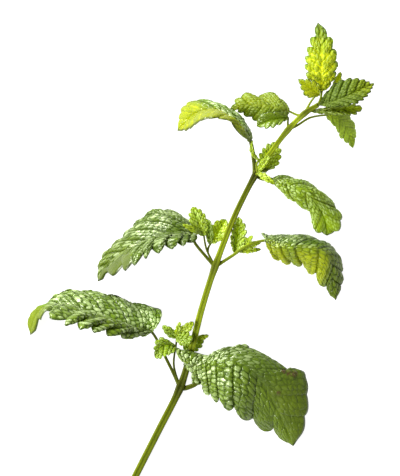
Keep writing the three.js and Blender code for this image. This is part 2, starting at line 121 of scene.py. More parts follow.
# How curves and points are worked out, and the half width from which a leaf has a full stalk
SMOOTHING_PASSES = 6
CURVE_STEPS = 60
TANGENT_REACH = 0.01
MERGE_DECIMALS = 4
SHORTEST_VECTOR = 1e-9
LEAST_SHARE = 1e-6
YOUNG_HALF_WIDTH = 10

# A half blade is wider than the plan shows: it stands up from the midrib or hangs down from it
RISES = 1
LIFTS = 0.5
FALLS = -1
SAGS = -0.3

# Points are (x, y, z), or (x, y) on a leaf's edges in plan
REST_HEIGHT = STEM_WIDTH / 2
REST_FACE = (-17, -78, 0)
CUT_END = (-29.5, -102.5, REST_HEIGHT)
NODE_1 = (-8, -60, 1.9)
NODE_2 = (6, -11.5, 11.5)
NODE_3 = (22, 25, 16)
NODE_4 = (35, 43, 18.5)
NODE_5 = (41.5, 49.5, 19.5)
APEX = (47, 53, 20)
STEM_NODES = [NODE_1, NODE_2, NODE_3, NODE_4, NODE_5]
STEM_PATH = [
    CUT_END, (-17, -78, REST_HEIGHT), NODE_1, (-3.5, -45, 4.5), (0.5, -29, 8), NODE_2, (13.5, 8, 14), NODE_3,
    (28.5, 34.5, 17.5), NODE_4, NODE_5, APEX,
]

# The leaves, with stalk, midrib, right and left edge from base to tip
# lie is how each half stands or hangs, notches where its teeth part, bite how deep, tooth_point how pointed
# level_base is the share of the edge that comes up from level, and scars are brown marks as (x, y, reach)
# net_sweep leans the vein cells forward and row_jitter makes their rows uneven
LEAVES = {
    "leaf_1_left": dict(
        half_width=17, teeth=9, bite=(0.2, 1.5), tooth_point=0.8, level_base=0.3, lie=[FALLS, RISES],
        notches=[(0.17, 0.3, 0.44, 0.58, 0.7, 0.8, 0.9), (0.12, 0.25, 0.345, 0.44, 0.545, 0.66, 0.79, 0.9)],
        stalk=[NODE_1, (-13, -49.5, 3)],
        midrib=[(-19.5, -37.5, 6), (-28, -35, 11), (-37, -32, 13.5), (-45.5, -29, 13.5), (-55, -26.5, 11),
            (-63, -28.6, 8), (-66.3, -32.5, 4.5), (-68, -39, 1.5)],
        right=[(-16, -32.5), (-16.5, -28), (-28, -25.5), (-37, -22.5), (-49.5, -21), (-57.5, -22.4),
            (-61, -26.4), (-63.8, -29.3), (-68.2, -31.2), (-69.3, -34.5)],
        left=[(-24, -39.5), (-31, -40.5), (-41, -38), (-53, -35), (-59.5, -32), (-62.2, -29.8),
            (-63.3, -31.5), (-64, -34), (-65.8, -37)],
    ),
    "leaf_1_right": dict(
        half_width=19, teeth=10, bite=(1, 0.4), lie=[FALLS, SAGS], level_base=0.35, stalk_width=2,
        notches=[(0.13, 0.25, 0.35, 0.425, 0.53, 0.67, 0.83), (0.13, 0.26, 0.375, 0.425, 0.61, 0.77, 0.86)],
        scars=[(37.8, -54.5, 1.1), (35.5, -54.3, 1), (33.5, -53.3, 0.8), (31.5, -62, 0.8)],
        stalk=[NODE_1, (-5, -60, 2.2), (-1, -57.5, 3)],
        midrib=[(-3, -51.5, 9), (4, -49, 12), (12, -49, 14), (19, -52, 14), (25.5, -59, 11), (32, -71, 6),
            (37.5, -83.5, 1)],
        right=[(-6.5, -50.5), (-4.5, -55), (-2.5, -58), (2.5, -63), (10.5, -69), (21.5, -75.5), (31, -80.5)],
        left=[(-9, -47), (-8.5, -43.5), (3, -46.5), (13, -43.5), (20, -43), (29, -48.3), (34.8, -51.3),
            (37, -52.2), (39, -51.9), (41.6, -53.2), (42.6, -55.8), (43.8, -62), (42.5, -75.5)],
    ),
    "leaf_2_left": dict(
        half_width=15.5, teeth=9, bite=(0.25, 1.5), tooth_point=1, net_sweep=0.4, row_jitter=0.15,
        lie=[FALLS, RISES],
        notches=[
            (0.15, 0.3, 0.45, 0.55, 0.65, 0.75, 0.85, 0.93),
            (0.14, 0.22, 0.33, 0.455, 0.575, 0.69, 0.775, 0.91),
        ],
        stalk=[NODE_2, (2, -7, 12), (-2, -2, 13)],
        midrib=[(-3, 1.5, 14), (-9, 2.5, 16.5), (-17, 1, 17), (-25, -2.5, 15), (-33, -7, 10), (-39, -12, 6),
            (-41, -17.5, 3)],
        right=[(-3, 5), (-9, 10), (-17, 12), (-23, 9), (-31, 1), (-39, -7), (-41, -12)],
        left=[(-1, 0), (-4, -2.5), (-9.5, -4), (-20, -7.5), (-29.5, -13), (-35.5, -15.5)],
    ),
    "leaf_2_right": dict(
        half_width=14.5, teeth=9, bite=(1, 0.2), lie=[FALLS, FALLS],
        notches=[(0.14, 0.27, 0.385, 0.5, 0.66, 0.83), (0.1, 0.3, 0.5, 0.65, 0.8, 0.885)],
        stalk=[NODE_2, (13, -7, 12), (19, -3, 12.5)],
        midrib=[(26.5, -1, 12), (31, -3, 14), (38, -3.5, 15), (46, -4.5, 14.5), (51, -6.5, 12.5),
            (53, -12, 8), (53, -18.5, 4), (54.5, -25, 1)],
        right=[(29, -5), (32, -9.5), (39, -11), (43, -13), (48, -19), (52, -22.5)],
        left=[(24.5, 2), (29.5, 0.5), (40, 1), (48, -1), (54.5, -5.5), (57, -13.5), (57, -19.5)],
    ),
    "leaf_3_left": dict(
        half_width=12, teeth=8, bite=(0.3, 0.9), lie=[FALLS, RISES], stalk_width=1.9,
        notches=[(0.2, 0.4, 0.55, 0.66, 0.75, 0.83, 0.9), (0.3, 0.5, 0.62, 0.72, 0.8, 0.87, 0.93)],
        stalk=[NODE_3, (21.5, 31, 16.5)],
        midrib=[(20, 39, 17), (16, 44.5, 19), (11.5, 48.5, 18), (7, 51, 15.5), (1.5, 51, 11), (-3, 49, 6),
            (-9, 43, 0.4)],
        right=[(21, 40), (19.5, 43), (15, 49.5), (7, 53.5), (-1, 55), (-7, 53), (-9, 47)],
        left=[(19, 39), (16, 41), (10.5, 46.5), (5, 47.5), (0, 46.5), (-5, 43)],
    ),
    "leaf_3_right": dict(
        half_width=12, teeth=7, bite=(0.5, 0.6), lie=[FALLS, FALLS],
        notches=[(0.2, 0.4, 0.6, 0.82, 0.92), (0.25, 0.45, 0.67, 0.79, 0.92)],
        stalk=[NODE_3, (25, 23.5, 15.5)],
        midrib=[(29, 23.5, 15), (35, 21.5, 16.5), (41.5, 18.5, 16), (47, 13, 12), (50, 7.5, 7), (51, 1, 2)],
        right=[(30.5, 22), (34.5, 17.6), (39.5, 13.2), (44.2, 10.2), (45.2, 5.5), (45.5, 2.5)],
        left=[(30.5, 24.5), (37, 24), (45, 21), (52, 15.5), (57, 9.5), (56, 3)],
    ),
    "leaf_4_left": dict(
        half_width=5, teeth=5, bite=(0.5, 1.5), tooth_point=1, lie=[RISES, RISES],
        stalk=[NODE_4, (35, 46, 19.5)],
        midrib=[(35, 48, 20.5), (32, 48, 22), (28, 47, 22.5), (22.5, 44.5, 21)],
        right=[(33.5, 50), (27, 50), (23, 48.5)],
        left=[(34, 46.5), (32, 45), (28.5, 43.5), (25, 43.5)],
    ),
    "leaf_4_right": dict(
        half_width=8.5, teeth=6, bite=(0.5, 0.25), lie=[FALLS, FALLS],
        stalk=[NODE_4, (39, 45, 18), (44, 48, 17.5)],
        midrib=[(50.5, 49, 17), (54.5, 48, 16), (58, 45, 11), (60, 41, 5.5), (61.5, 36, 0.4)],
        right=[(51.5, 47.5), (53.5, 45.5), (55, 43), (56, 40.5), (59, 38)],
        left=[(51, 50.5), (57, 50), (60, 48.5), (62, 45), (62.5, 40.5)],
    ),
    "leaf_5_left": dict(
        half_width=8, teeth=7, bite=(0.9, 1.2), tooth_point=0.8, lie=[FALLS, FALLS],
        notches=[(0.25, 0.55, 0.79, 0.9), (0.3, 0.5, 0.65, 0.8, 0.9)],
        stalk=[NODE_5, (39, 49, 19.5)],
        midrib=[(35.5, 50.5, 19.5), (29, 52.5, 20), (23, 53, 20), (17, 52.5, 19), (12, 51.5, 17)],
        right=[(33.5, 54), (31, 57), (28.5, 58.5), (22, 57), (18, 58), (14, 55.5)],
        left=[(33.5, 48), (29, 46.5), (22.5, 46.5), (18, 48.5), (14.5, 50.5)],
    ),
    "leaf_6_up": dict(
        half_width=9.5, teeth=8, bite=(1.4, 1.6), lie=[SAGS, SAGS],
        notches=[(0.2, 0.33, 0.46, 0.62, 0.78), (0.24, 0.345, 0.45, 0.56, 0.68, 0.82)],
        stalk=[APEX, (48, 55.5, 21)],
        midrib=[(48.5, 58.5, 21.5), (48.5, 65, 23.5), (48.5, 71, 24), (48, 78.5, 22.5), (47, 86, 19)],
        right=[(49.5, 59.5), (52.5, 61.5), (54.5, 65.5), (55, 71.5), (53, 79), (50.5, 83)],
        left=[(47, 59), (43, 63), (41.5, 69), (42.5, 76), (45, 82.5)],
    ),
    "leaf_6_right": dict(
        half_width=9, teeth=7, bite=(0.7, 0.6), tooth_point=1, lie=[LIFTS, SAGS],
        notches=[(0.35, 0.5, 0.62, 0.72, 0.81, 0.89, 0.95), (0.3, 0.42, 0.54, 0.66, 0.77, 0.87, 0.94)],
        stalk=[APEX],
        midrib=[(47.8, 53.2, 20.8), (55, 55, 23), (61.5, 58, 23), (69.5, 61.5, 20)],
        right=[(51, 52), (58, 52.3), (63, 53.5), (66.5, 56), (68.7, 59.2)],
        left=[(49.5, 56.5), (52.5, 61), (56, 63), (60.5, 64), (65.5, 63.3)],
    ),
}

# Half the outline of a small leaf by share of its length, as shares of its half width
YOUNG_OUTLINE = [(0.08, 0.5), (0.34, 1), (0.64, 0.95), (0.88, 0.6)]
POINTED_OUTLINE = [(0.08, 0.5), (0.34, 1), (0.64, 0.75), (0.88, 0.3)]
FAN_OUTLINE = [(0.1, 0.35), (0.4, 0.7), (0.75, 1), (0.93, 0.7)]


def leaflet(base, tip, half_width, show, **more):
    """A small leaf from base to tip, and the share of each half's width that the plan shows."""
    return dict(more, base=base, tip=tip, half_width=half_width, show=show)


# The young shoots: stalks and small leaves, whose midrib bow lifts and bend bows sideways
SHOOTS = {
    "shoot_1_left": dict(
        stalks=[[NODE_1, (-10.5, -51, 4), (-9.5, -42, 6), (-9.5, -39, 7)]],
        leaves=[
            leaflet(
                (-9.7, -43.5, 5.7), (-18, -48, 8), 4.8, (0.75, 0.9), bow=3, bend=0.3, teeth=6, yellow=0.35,
            ),
            leaflet((-9.5, -40, 6.5), (-15, -35, 9), 2.2, 0.8, yellow=0.3),
            leaflet((-9.5, -40, 6.5), (-2.5, -33.5, 10), 2.2, 0.9, teeth=5),
            leaflet((-9.5, -39.5, 7), (-8, -33.5, 10.5), 1.4, 0.8),
            leaflet((-9.5, -40.5, 6.7), (-2.8, -40, 9.5), 3.4, (0.9, 0.8), teeth=5, yellow=0.35),
        ],
    ),
    "shoot_1_right": dict(
        stalks=[[NODE_1, (-6.3, -54, 0.9), (-5.2, -48, 1), (-4.5, -43.5, 1.4), (-1.5, -41, 1.4)]],
        leaves=[
            leaflet((-6.5, -44.5, 1.4), (1.5, -40.5, 1.2), 3.6, 0.9, bow=0.3, teeth=5, yellow=0.35),
            leaflet((-2, -41, 1.4), (3.5, -39, 2.5), 1.4, 0.8),
        ],
    ),
    "shoot_2_left": dict(
        stalks=[
            [NODE_2, (3, -5.5, 13), (2, -2, 14.5), (1.5, 1.5, 16)],
            [(3, -5.5, 13), (3.5, -3.5, 12.5), (4.5, -2, 12)],
        ],
        leaves=[
            leaflet((1.5, 1, 15.8), (-3, 12.5, 22), 4.4, (0.85, 0.8), teeth=6, yellow=0.45),
            leaflet((1.5, 1.5, 16), (-7, 5.5, 23), 1.4, (0.7, 0.8)),
            leaflet((4, -2.5, 12.2), (3.5, 7.5, 14), 2.2, 0.7, yellow=0.25),
            leaflet((4.5, -2, 12), (10.5, 7.5, 7), 4, (0.8, 0.95), teeth=5, yellow=0.55),
        ],
    ),
    "shoot_2_right": dict(
        stalks=[[NODE_2, (11, -8.5, 10.5), (14.5, -6, 9.5), (17.5, -3.5, 9.5)]],
        leaves=[
            leaflet((14, -6, 9.6), (15.5, 8.5, 8), 5, (0.8, 0.5), teeth=6, yellow=0.45),
            leaflet((15.5, -5.3, 9.5), (24.5, -4.5, 8), 1.8, 0.6, teeth=6),
            leaflet((17, -4, 9.5), (21, 1, 13), 1.3, 0.85),
            leaflet((17.3, -3.8, 9.5), (24.5, -1.5, 9.5), 1.5, 0.8),
        ],
    ),
    "shoot_3": dict(
        stalks=[
            [(25, 27, 13), (26.3, 26.5, 15.8), (25, 26.5, 18.6), (23, 26.3, 18.9)],
            [NODE_3, (23, 26, 18.5), (22.5, 29, 19.5), (23.5, 31.5, 20)],
        ],
        leaves=[
            leaflet((25, 27, 13), (30.5, 38.5, 13), 5, (0.95, 0.8), teeth=6, yellow=0.5),
            leaflet((23, 26.5, 18.7), (27.5, 33, 21.5), 1.8, 0.8),
            leaflet((23, 26.2, 18.6), (30, 21.5, 20), 2, (0.7, 0.6)),
            leaflet((23.5, 31, 20), (21, 39, 21), 1.2, 0.6, bend=-0.2),
        ],
    ),
    "tip_leaf_left": dict(
        stalks=[[NODE_5, (44, 54, 20.5), (46, 56.5, 22), (47.5, 57, 22.5)]],
        leaves=[
            leaflet((47.5, 57, 22.5), (39, 63.2, 25), 4.2, (0.85, 0.95), teeth=5, outline=POINTED_OUTLINE),
        ],
    ),
    "tip_leaf_low": dict(
        stalks=[[(42.5, 50.3, 19.7), (44, 50.5, 19.6), (45.5, 50.8, 19.5)]],
        leaves=[
            leaflet(
                (44.5, 50.5, 19.5), (64.8, 51.8, 18), 4, (0.7, 0.5), teeth=8, bite=2.5, outline=FAN_OUTLINE,
            ),
        ],
    ),
    "tip_leaf_back": dict(
        stalks=[[(46, 52.5, 19.5), (49, 55.5, 17.5), (52, 58, 17), (53.5, 59, 17)]],
        leaves=[leaflet((53.2, 58.5, 17), (56.2, 66.3, 16.5), 1.9, 0.75)],
    ),
}

# The finish of each leaf, as one value, a list of (share of the edge, value), or a pair for right and left
# the painted sheen is a pale highlight painted on the crests of its cells, tone how light it is and glow how
# its veins shine through
# green_rim is the width of a green edge and cell the size of a vein cell, both in millimetres
# plain_from is where its lobes turn plain, and line_width and vein_width are of the net and the side veins
FINISH = {
    "leaf_1_left": dict(
        cell=2.4,
        yellow=(
            [(0, 0.35), (0.12, 0.1), (0.84, 0.1), (0.87, 0.5), (1, 0.6)],
            [(0, 0.5), (0.12, 0.2), (0.8, 0.15), (0.83, 0.5), (1, 0.6)],
        ),
        quilting=(
            [(0, 0.7), (0.84, 1.2), (0.87, 0.2), (1, 0.1)],
            [(0, 1.1), (0.8, 1.1), (0.83, 0.2), (1, 0.1)],
        ),
        # Both halves are lighter towards the base: painted light on the base, which turns away from the key
        # lamp
        tone=(
            [(0, 1.7), (0.2, 1.6), (0.32, 1.3), (0.84, 1.2), (0.88, 0.95)],
            [(0, 1.6), (0.12, 1.15), (0.8, 1.15), (0.84, 0.95)],
        ),
        painted_sheen=([(0, 2), (0.2, 1.6), (0.35, 1), (0.8, 1), (0.84, 0)], [(0, 1), (0.8, 1), (0.84, 0)]),
        matt=[(0, 0), (0.8, 0), (0.85, 1)],
    ),
    "leaf_1_right": dict(
        vein_width=0.6, cell=2.3,
        yellow=(
            [(0, 0.2), (0.5, 0.15), (1, 0.25)],
            [(0, 0.25), (0.3, 0.05), (0.6, 0.1), (0.75, 0.3), (1, 0.25)],
        ),
        quilting=([(0, 1.4), (0.5, 1.2), (0.7, 0.65), (1, 0.5)], [(0, 1.2), (0.35, 1), (0.5, 0.6), (1, 0.4)]),
        tone=([(0, 1.4), (0.4, 1.25), (0.6, 0.9), (1, 0.9)], [(0, 1.25), (0.4, 1), (0.6, 0.7), (1, 0.75)]),
        painted_sheen=([(0, 1), (0.4, 0.9), (0.6, 0.3), (1, 0.1)], [(0, 1), (0.45, 0.8), (0.62, 0.25), (1, 0.1)]),
    ),
    "leaf_2_left": dict(
        quilting=1.1, painted_sheen=(0.9, 1), plain_from=(0.9, 0.69), line_width=0.26, vein_width=1.9, cell=1.7,
        yellow=([(0, 0.1), (0.5, 0.05), (1, 0.3)], [(0, 0.1), (0.64, 0.1), (0.7, 0.3), (1, 0.35)]),
        tone=([(0, 1.05), (1, 0.95)], [(0, 1.2), (1, 1)]),
    ),
    "leaf_2_right": dict(
        quilting=(1.2, 1.1), green_rim=0.9, line_width=0.22, cell=1.7,
        # The yellow of the lower, hanging half is partly the leaf's own yellowing and partly painted light,
        # the glow of light coming through it
        yellow=(
            [
                (0, 0.3), (0.15, 0.95), (0.34, 0.95), (0.42, 0.5), (0.5, 0.95), (0.72, 0.9), (0.82, 0.25),
                (1, 0.3),
            ],
            [(0, 0.05), (0.55, 0.05), (0.75, 0.3), (1, 0.3)],
        ),
        tone=([(0, 1.4), (0.7, 1.4), (0.85, 1.05), (1, 1)], [(0, 1.2), (1, 1.1)]),
        painted_sheen=(0.1, [(0, 1), (0.5, 0.8), (0.7, 0.2), (1, 0)]),
    ),
    "leaf_3_left": dict(
        glow=0.6,
        yellow=(
            [(0, 0.05), (0.64, 0.1), (0.74, 0.95), (1, 1)],
            [(0, 0.3), (0.15, 0.6), (0.35, 0.9), (1, 1)],
        ),
        quilting=([(0, 1.1), (0.64, 1.1), (0.75, 0.5), (1, 0.4)], 0.6),
        tone=([(0, 1.25), (0.6, 1.35), (0.74, 1.25), (1, 1.25)], [(0, 1), (0.4, 1.15), (1, 1.25)]),
        painted_sheen=([(0, 0.8), (0.6, 0.8), (0.7, 0)], 0),
    ),
    "leaf_3_right": dict(
        painted_sheen=0.65, cell=1.4,
        yellow=([(0, 0.5), (0.4, 0.4), (1, 0.4)], [(0, 0.2), (0.5, 0.3), (1, 0.45)]),
        quilting=[(0, 1.3), (0.6, 1.3), (0.85, 0.6), (1, 0.5)],
        # Painted light: the whole leaf is made lighter, as both its halves hang away from the key lamp
        tone=[(0, 1.75), (0.6, 1.7), (1, 1.5)],
    ),
    "leaf_4_left": dict(yellow=(0.3, 0.25), quilting=(0.7, 0.5), tone=1.2),
    "leaf_4_right": dict(yellow=(0.4, [(0, 0.5), (1, 0.4)]), quilting=0.8, tone=1.5, matt=0.8),
    "leaf_5_left": dict(
        quilting=(1.7, 1.5), tone=1.25, matt=0.5, painted_sheen=0.4, glow=0.7, green_rim=1.5, line_width=0.3,
        yellow=([(0, 0.35), (0.5, 0.45), (1, 0.55)], [(0, 0.2), (0.5, 0.4), (1, 0.5)]),
    ),
    "leaf_6_up": dict(
        quilting=1.8, matt=0.5, glow=1, green_rim=2.4, line_width=0.26, cell=1.7,
        yellow=(
            [(0, 1), (0.6, 0.95), (0.85, 0.45), (1, 0.3)],
            [(0, 1), (0.6, 0.95), (0.85, 0.4), (1, 0.3)],
        ),
        tone=[(0, 1.5), (0.7, 1.5), (1, 1.15)],
    ),
    "leaf_6_right": dict(
        quilting=1.1, matt=0.8,
        yellow=(
            [(0, 0.15), (0.6, 0.25), (0.85, 0.6), (1, 0.7)],
            [(0, 0.15), (0.6, 0.2), (0.85, 0.5), (1, 0.7)],
        ),
        tone=[(0, 0.85), (0.6, 0.95), (1, 1.4)],
    ),
    "tip_leaf_left": dict(yellow=0.95, quilting=0.8, tone=1.3, green_rim=0.8),
    "tip_leaf_low": dict(
        quilting=1, matt=0.3,
        yellow=[(0, 0.3), (0.7, 0.4), (1, 0.7)],
        tone=[(0, 1.1), (0.6, 1.1), (1, 1.4)],
    ),
    "tip_leaf_back": dict(yellow=0.7, quilting=0.4, tone=1.3),
}
YOUNG_FINISH = dict(quilting=1.4, tone=1.8, matt=0.3, painted_sheen=0.5)
YOUNG_YELLOW = 0.6
YOUNG_BITE = 1.6

# Vein cells: size by half width, height, tilt and spacing by the cell, unevenness, and where they fade out
CELL_SHARE = 0.15
SMALLEST_CELL = 1.1
CELL_HEIGHT_SHARE = 0.24
LEAST_SWELL = 0.7
SWELL_SPREAD = 0.6
FINE_CELL_HEIGHT_SHARE = 0.045
FINE_ROWS = 2.3
CELL_TILT = 0.55
CROWN_REACH = 0.6
CROWN_POWER = 3
ROW_SHARE = 1.15
CELL_LENGTH_SHARE = 0.9
NET_LINE_WIDTH = 0.17
NET_SWEEP = 0.08
ROW_JITTER = 0.5
CELL_JITTER = 0.9
MIDRIB_START = 0.4
MIDRIB_RISE = 1.2
BASE_FADE = 0.1
TIP_FADE = 0.05
CELLS_BEFORE = 20

# Scatter: how it mixes two whole numbers and a seed, and the steps from one seed to another
MIX_FIRST = 127.1
MIX_SECOND = 311.7
MIX_SEED = 74.7
MIX_SPREAD = 43758.5453
LEFT_SEED = 0.37
FINE_SEED = 5
ALONG_SEED = 19
CHANCE_SEED = 37
OTHER_SEED = 53
FAR_OFF = 9.0

# Veins and rim of a large leaf: grooves, ribs, margin and gap in millimetres, taper and thinning as shares
FULL_HALF_WIDTH = 12
SIDE_VEIN_DEPTH = 0.4
SIDE_VEIN_WIDTH = 0.35
LEAST_VEIN_WIDTH = 0.1
MIDRIB_DEPTH = 0.3
MIDRIB_WIDTH = 0.55
LEAST_MIDRIB_WIDTH = 0.15
RIB_DEPTH = 0.55
RIB_TAPER = 0.75
SIDE_RIB_DEPTH = 0.16
RIM_WIDTH = 1.3
MARGIN_ROLL = 0.35
EDGE_THINNING = 0.45
TABLE_GAP = 0.02

# Shares of the finish: the blend at the midrib, the green rim, plain lobes, veins, net lines and the painted
# sheen on the crests
YELLOW_BLEND = 0.2
RIM_START = 0.35
RIM_YELLOW = 0.3
PLAIN_NOWHERE = 2
PLAIN_FADE = 0.02
PLAIN_REACH = (0.3, 0.55)
PLAIN_SMOOTHNESS = 0.85
PLAIN_DARKNESS = 0.4
MIDRIB_MASK = 0.7
NET_MASK = 0.8
PAINTED_SHEEN_REACH = (0.15, 0.4)

# Base colours of leaf, stem and stalk, painted shade and a painted sheen for the leaf, and the colours of
# light that comes through a leaf
# Painted shade: the dark green painted in the hollows between vein cells and along the grooves, also used for
# darker random patches
DARK_GREEN_AND_PAINTED_SHADE = (0.017, 0.04, 0.0025)
GREEN_PILLOW = (0.098, 0.174, 0.009)
GREEN_VEIN = (0.16, 0.25, 0.035)
# Painted shade: the dark yellow painted in the hollows and grooves of a yellow leaf
YELLOW_PAINTED_SHADE = (0.06, 0.09, 0.003)
YELLOW_PILLOW = (0.3, 0.34, 0.01)
YELLOW_VEIN = (0.55, 0.56, 0.025)
# Painted sheen: the pale highlight painted on the crests of the vein cells
PAINTED_SHEEN_COLOUR = (0.49, 0.595, 0.285)
UNDERSIDE = (0.16, 0.22, 0.06)
# A darker green towards the edge, also used as painted shade along the grooves in the light that comes
# through
EDGE_DARK_AND_PAINTED_SHADE = (0.025, 0.048, 0.004)
SCAR_BROWN = (0.07, 0.032, 0.014)
GREEN_THROUGH = (0.36, 0.56, 0.03)
YELLOW_THROUGH = (0.78, 0.8, 0.05)
YELLOW_VEIN_THROUGH = (0.95, 0.92, 0.06)
CELL_THROUGH = (0.24, 0.33, 0.02)
STEM_LIGHT = (0.21, 0.26, 0.006)
STEM_DARK = (0.1, 0.135, 0.004)
STALK_LIGHT = (0.12, 0.155, 0.006)
STALK_DARK = (0.05, 0.066, 0.004)
NODE_GREEN = (0.045, 0.055, 0.006)

# How light the stalks are, the young ones and those named
YOUNG_STALK_TONE = 1.6
STALK_TONES = dict(
    leaf_1_left=0.6, leaf_1_right=0.6, leaf_2_left=1, leaf_2_right=1.5, leaf_3_left=0.6, leaf_3_right=0.6,
    shoot_1_left=0.5, shoot_1_right=0.5, shoot_2_left=1,
)

# The masks that the materials read from the points of a piece, and the leaves that are young
LEAF_MASKS = (
    "pillow", "vein", "smooth", "line", "painted_sheen", "edge", "yellow", "tone", "matt", "glow", "scar", "under",
)
MASKS = (*LEAF_MASKS, "ridge", "node")
YOUNG_LEAVES = ("leaf_4_left", "leaf_6_up")

# The materials' noise as (scale, detail)
PATCHES = (160, 3)
MOTTLE = (450, 2)
LEAF_GRAIN = (1500, 4)
STREAKS = (220, 3)
STEM_GRAIN = (2600, 3)
FIBRES = (90, 5)
NOISE_ROUGHNESS = 0.55

# Table, lamps, sky and camera in metres
TABLE_SIZE = 6.0
TABLE_DROP = 0.0001
TABLE_DARK = (0.24, 0.24, 0.236)
TABLE_LIGHT = (0.27, 0.27, 0.27)
LAMP_SIZE = 0.7
LAMPS = [
    dict(name="key_light", place=(-0.9, 1.15, 0.75), power=58, colour=(1, 0.99, 0.97)),
    dict(name="fill_light", place=(-1.0, -0.35, 1.1), power=34, colour=(1, 1, 1)),
]
SKY_LOW = 0.6
SKY_HIGH = 0.2
SKY_TOP = 0.9
VIEW_HEIGHT = 0.1904
VIEW_DISTANCE = 2.5
MEAN_HEIGHT = 0.01


# Curves
def smooth_curve(points):
    """Points set close together on a smooth curve through the given ones, and the length run up to each."""
    knots = np.array([(*point, 0)[:3] for point in points], float)
    knots = np.vstack([2 * knots[0] - knots[1], knots, 2 * knots[-1] - knots[-2]])
    t = np.linspace(0, 1, CURVE_STEPS, endpoint=False)[:, None]
    spans = []
    for a, b, c, d in zip(knots[:-3], knots[1:-2], knots[2:-1], knots[3:]):
        linear, square, cube = c - a, 2 * a - 5 * b + 4 * c - d, 3 * b - a - 3 * c + d
        spans.append(0.5 * (2 * b + linear * t + square * t**2 + cube * t**3))
    line = np.vstack([*spans, knots[-2]])
    steps = np.linalg.norm(np.diff(line, axis=0), axis=1)
    return line, np.concatenate([[0], np.cumsum(steps)])


def along(curve, shares):
    """Points at shares of a curve's length."""
    line, run = curve
    lengths = shares * run[-1]
    return np.stack([np.interp(lengths, run, line[:, axis]) for axis in range(3)], axis=-1)


def unit(vectors):
    lengths = np.linalg.norm(vectors, axis=-1, keepdims=True)
    return vectors / np.maximum(lengths, SHORTEST_VECTOR)


def headings(curve, shares):
    """Unit tangents at shares of a curve's length."""
    ahead, behind = np.minimum(shares + TANGENT_REACH, 1), np.maximum(shares - TANGENT_REACH, 0)
    return unit(along(curve, ahead) - along(curve, behind))


def ease(low, high, values):
    """0 below low, 1 above high and a smooth rise between."""
    share = np.clip((values - low) / (high - low), 0, 1)
    return share * share * (3 - 2 * share)


def turn(count):
    """Angles evenly round a full turn."""
    return np.linspace(0, 2 * np.pi, count, endpoint=False)


def quads_between(ids, beside):
    """Quads between each row of points, the points beside them and the next row."""
    return np.stack([ids[:-1], beside[:-1], beside[1:], ids[1:]], axis=-1).reshape(-1, 4)


def bell(values, width):
    """1 at 0, falling away smoothly on both sides."""
    return np.exp(-((values / width) ** 2))


# Scatter and profiles
def scatter(i, j, seed):
    """A number from 0 to 1 for each pair of whole numbers."""
    mixed = np.sin(i * MIX_FIRST + j * MIX_SECOND + seed * MIX_SEED) * MIX_SPREAD
    return mixed - np.floor(mixed)


def cells(x, y, seed, row_jitter=ROW_JITTER):
    """A net of cells in staggered rows: each point's way to its cell's border, its place in the cell as two
    offsets from the centre, and two numbers from 0 to 1 by which the cells differ."""
    column, row = np.floor(x), np.floor(y)
    nearest, second = np.full(x.shape, FAR_OFF), np.full(x.shape, FAR_OFF)
    place = [np.zeros(x.shape) for _ in range(4)]
    for right in (-1, 0, 1):
        for up in (-2, -1, 0, 1, 2):
            i, j = column + right, row + up
            off_x = x - i - 0.5 - row_jitter * (scatter(i, j, seed) - 0.5)
            off_y = y - j - 0.5 * (i % 2) - CELL_JITTER * (scatter(i, j, seed + ALONG_SEED) - 0.5)
            distance = np.hypot(off_x, off_y)
            closer = distance < nearest
            second = np.where(closer, nearest, np.minimum(second, distance))
            nearest = np.where(closer, distance, nearest)
            chances = [scatter(i, j, seed + step) for step in (CHANCE_SEED, OTHER_SEED)]
            place = [np.where(closer, new, old) for new, old in zip((off_x, off_y, *chances), place)]
    return (second - nearest, *place)


def crown(border):
    """The height of a pillow, from its border up to its flat top."""
    return 1 - (1 - np.clip(border / CROWN_REACH, 0, 1)) ** CROWN_POWER


def profile(values, shares):
    """A value at shares of a length, from one number or from a list of (share, value)."""
    steps = values if isinstance(values, list) else [(0, values)]
    return np.interp(shares, *zip(*steps))


# Blades
def vein_start(shares):
    """The share of the midrib where a vein starts that ends at this share of the edge."""
    return np.maximum(0, (shares - VEIN_START) / (1 - VEIN_START)) ** VEIN_SWEEP


def flat_edge(shares, length, half_width):
    """How far along and how far out the edge lies on the flat leaf, which is ovate with a rounded base."""
    forward = length * (1 - np.cos(np.pi * shares)) / 2
    outward = np.maximum(0, np.sin(np.pi * shares**BASE_FULLNESS)) ** (SIDE_POWER + TIP_POWER * shares)
    return forward, half_width * outward


def cell_size(leaf):
    return leaf["finish"].get("cell", max(CELL_SHARE * leaf["half_width"], SMALLEST_CELL))


def by_hand(value, hand):
    """The value of the right or left half, from a pair or from one value for both."""
    return value[hand] if isinstance(value, tuple) else value


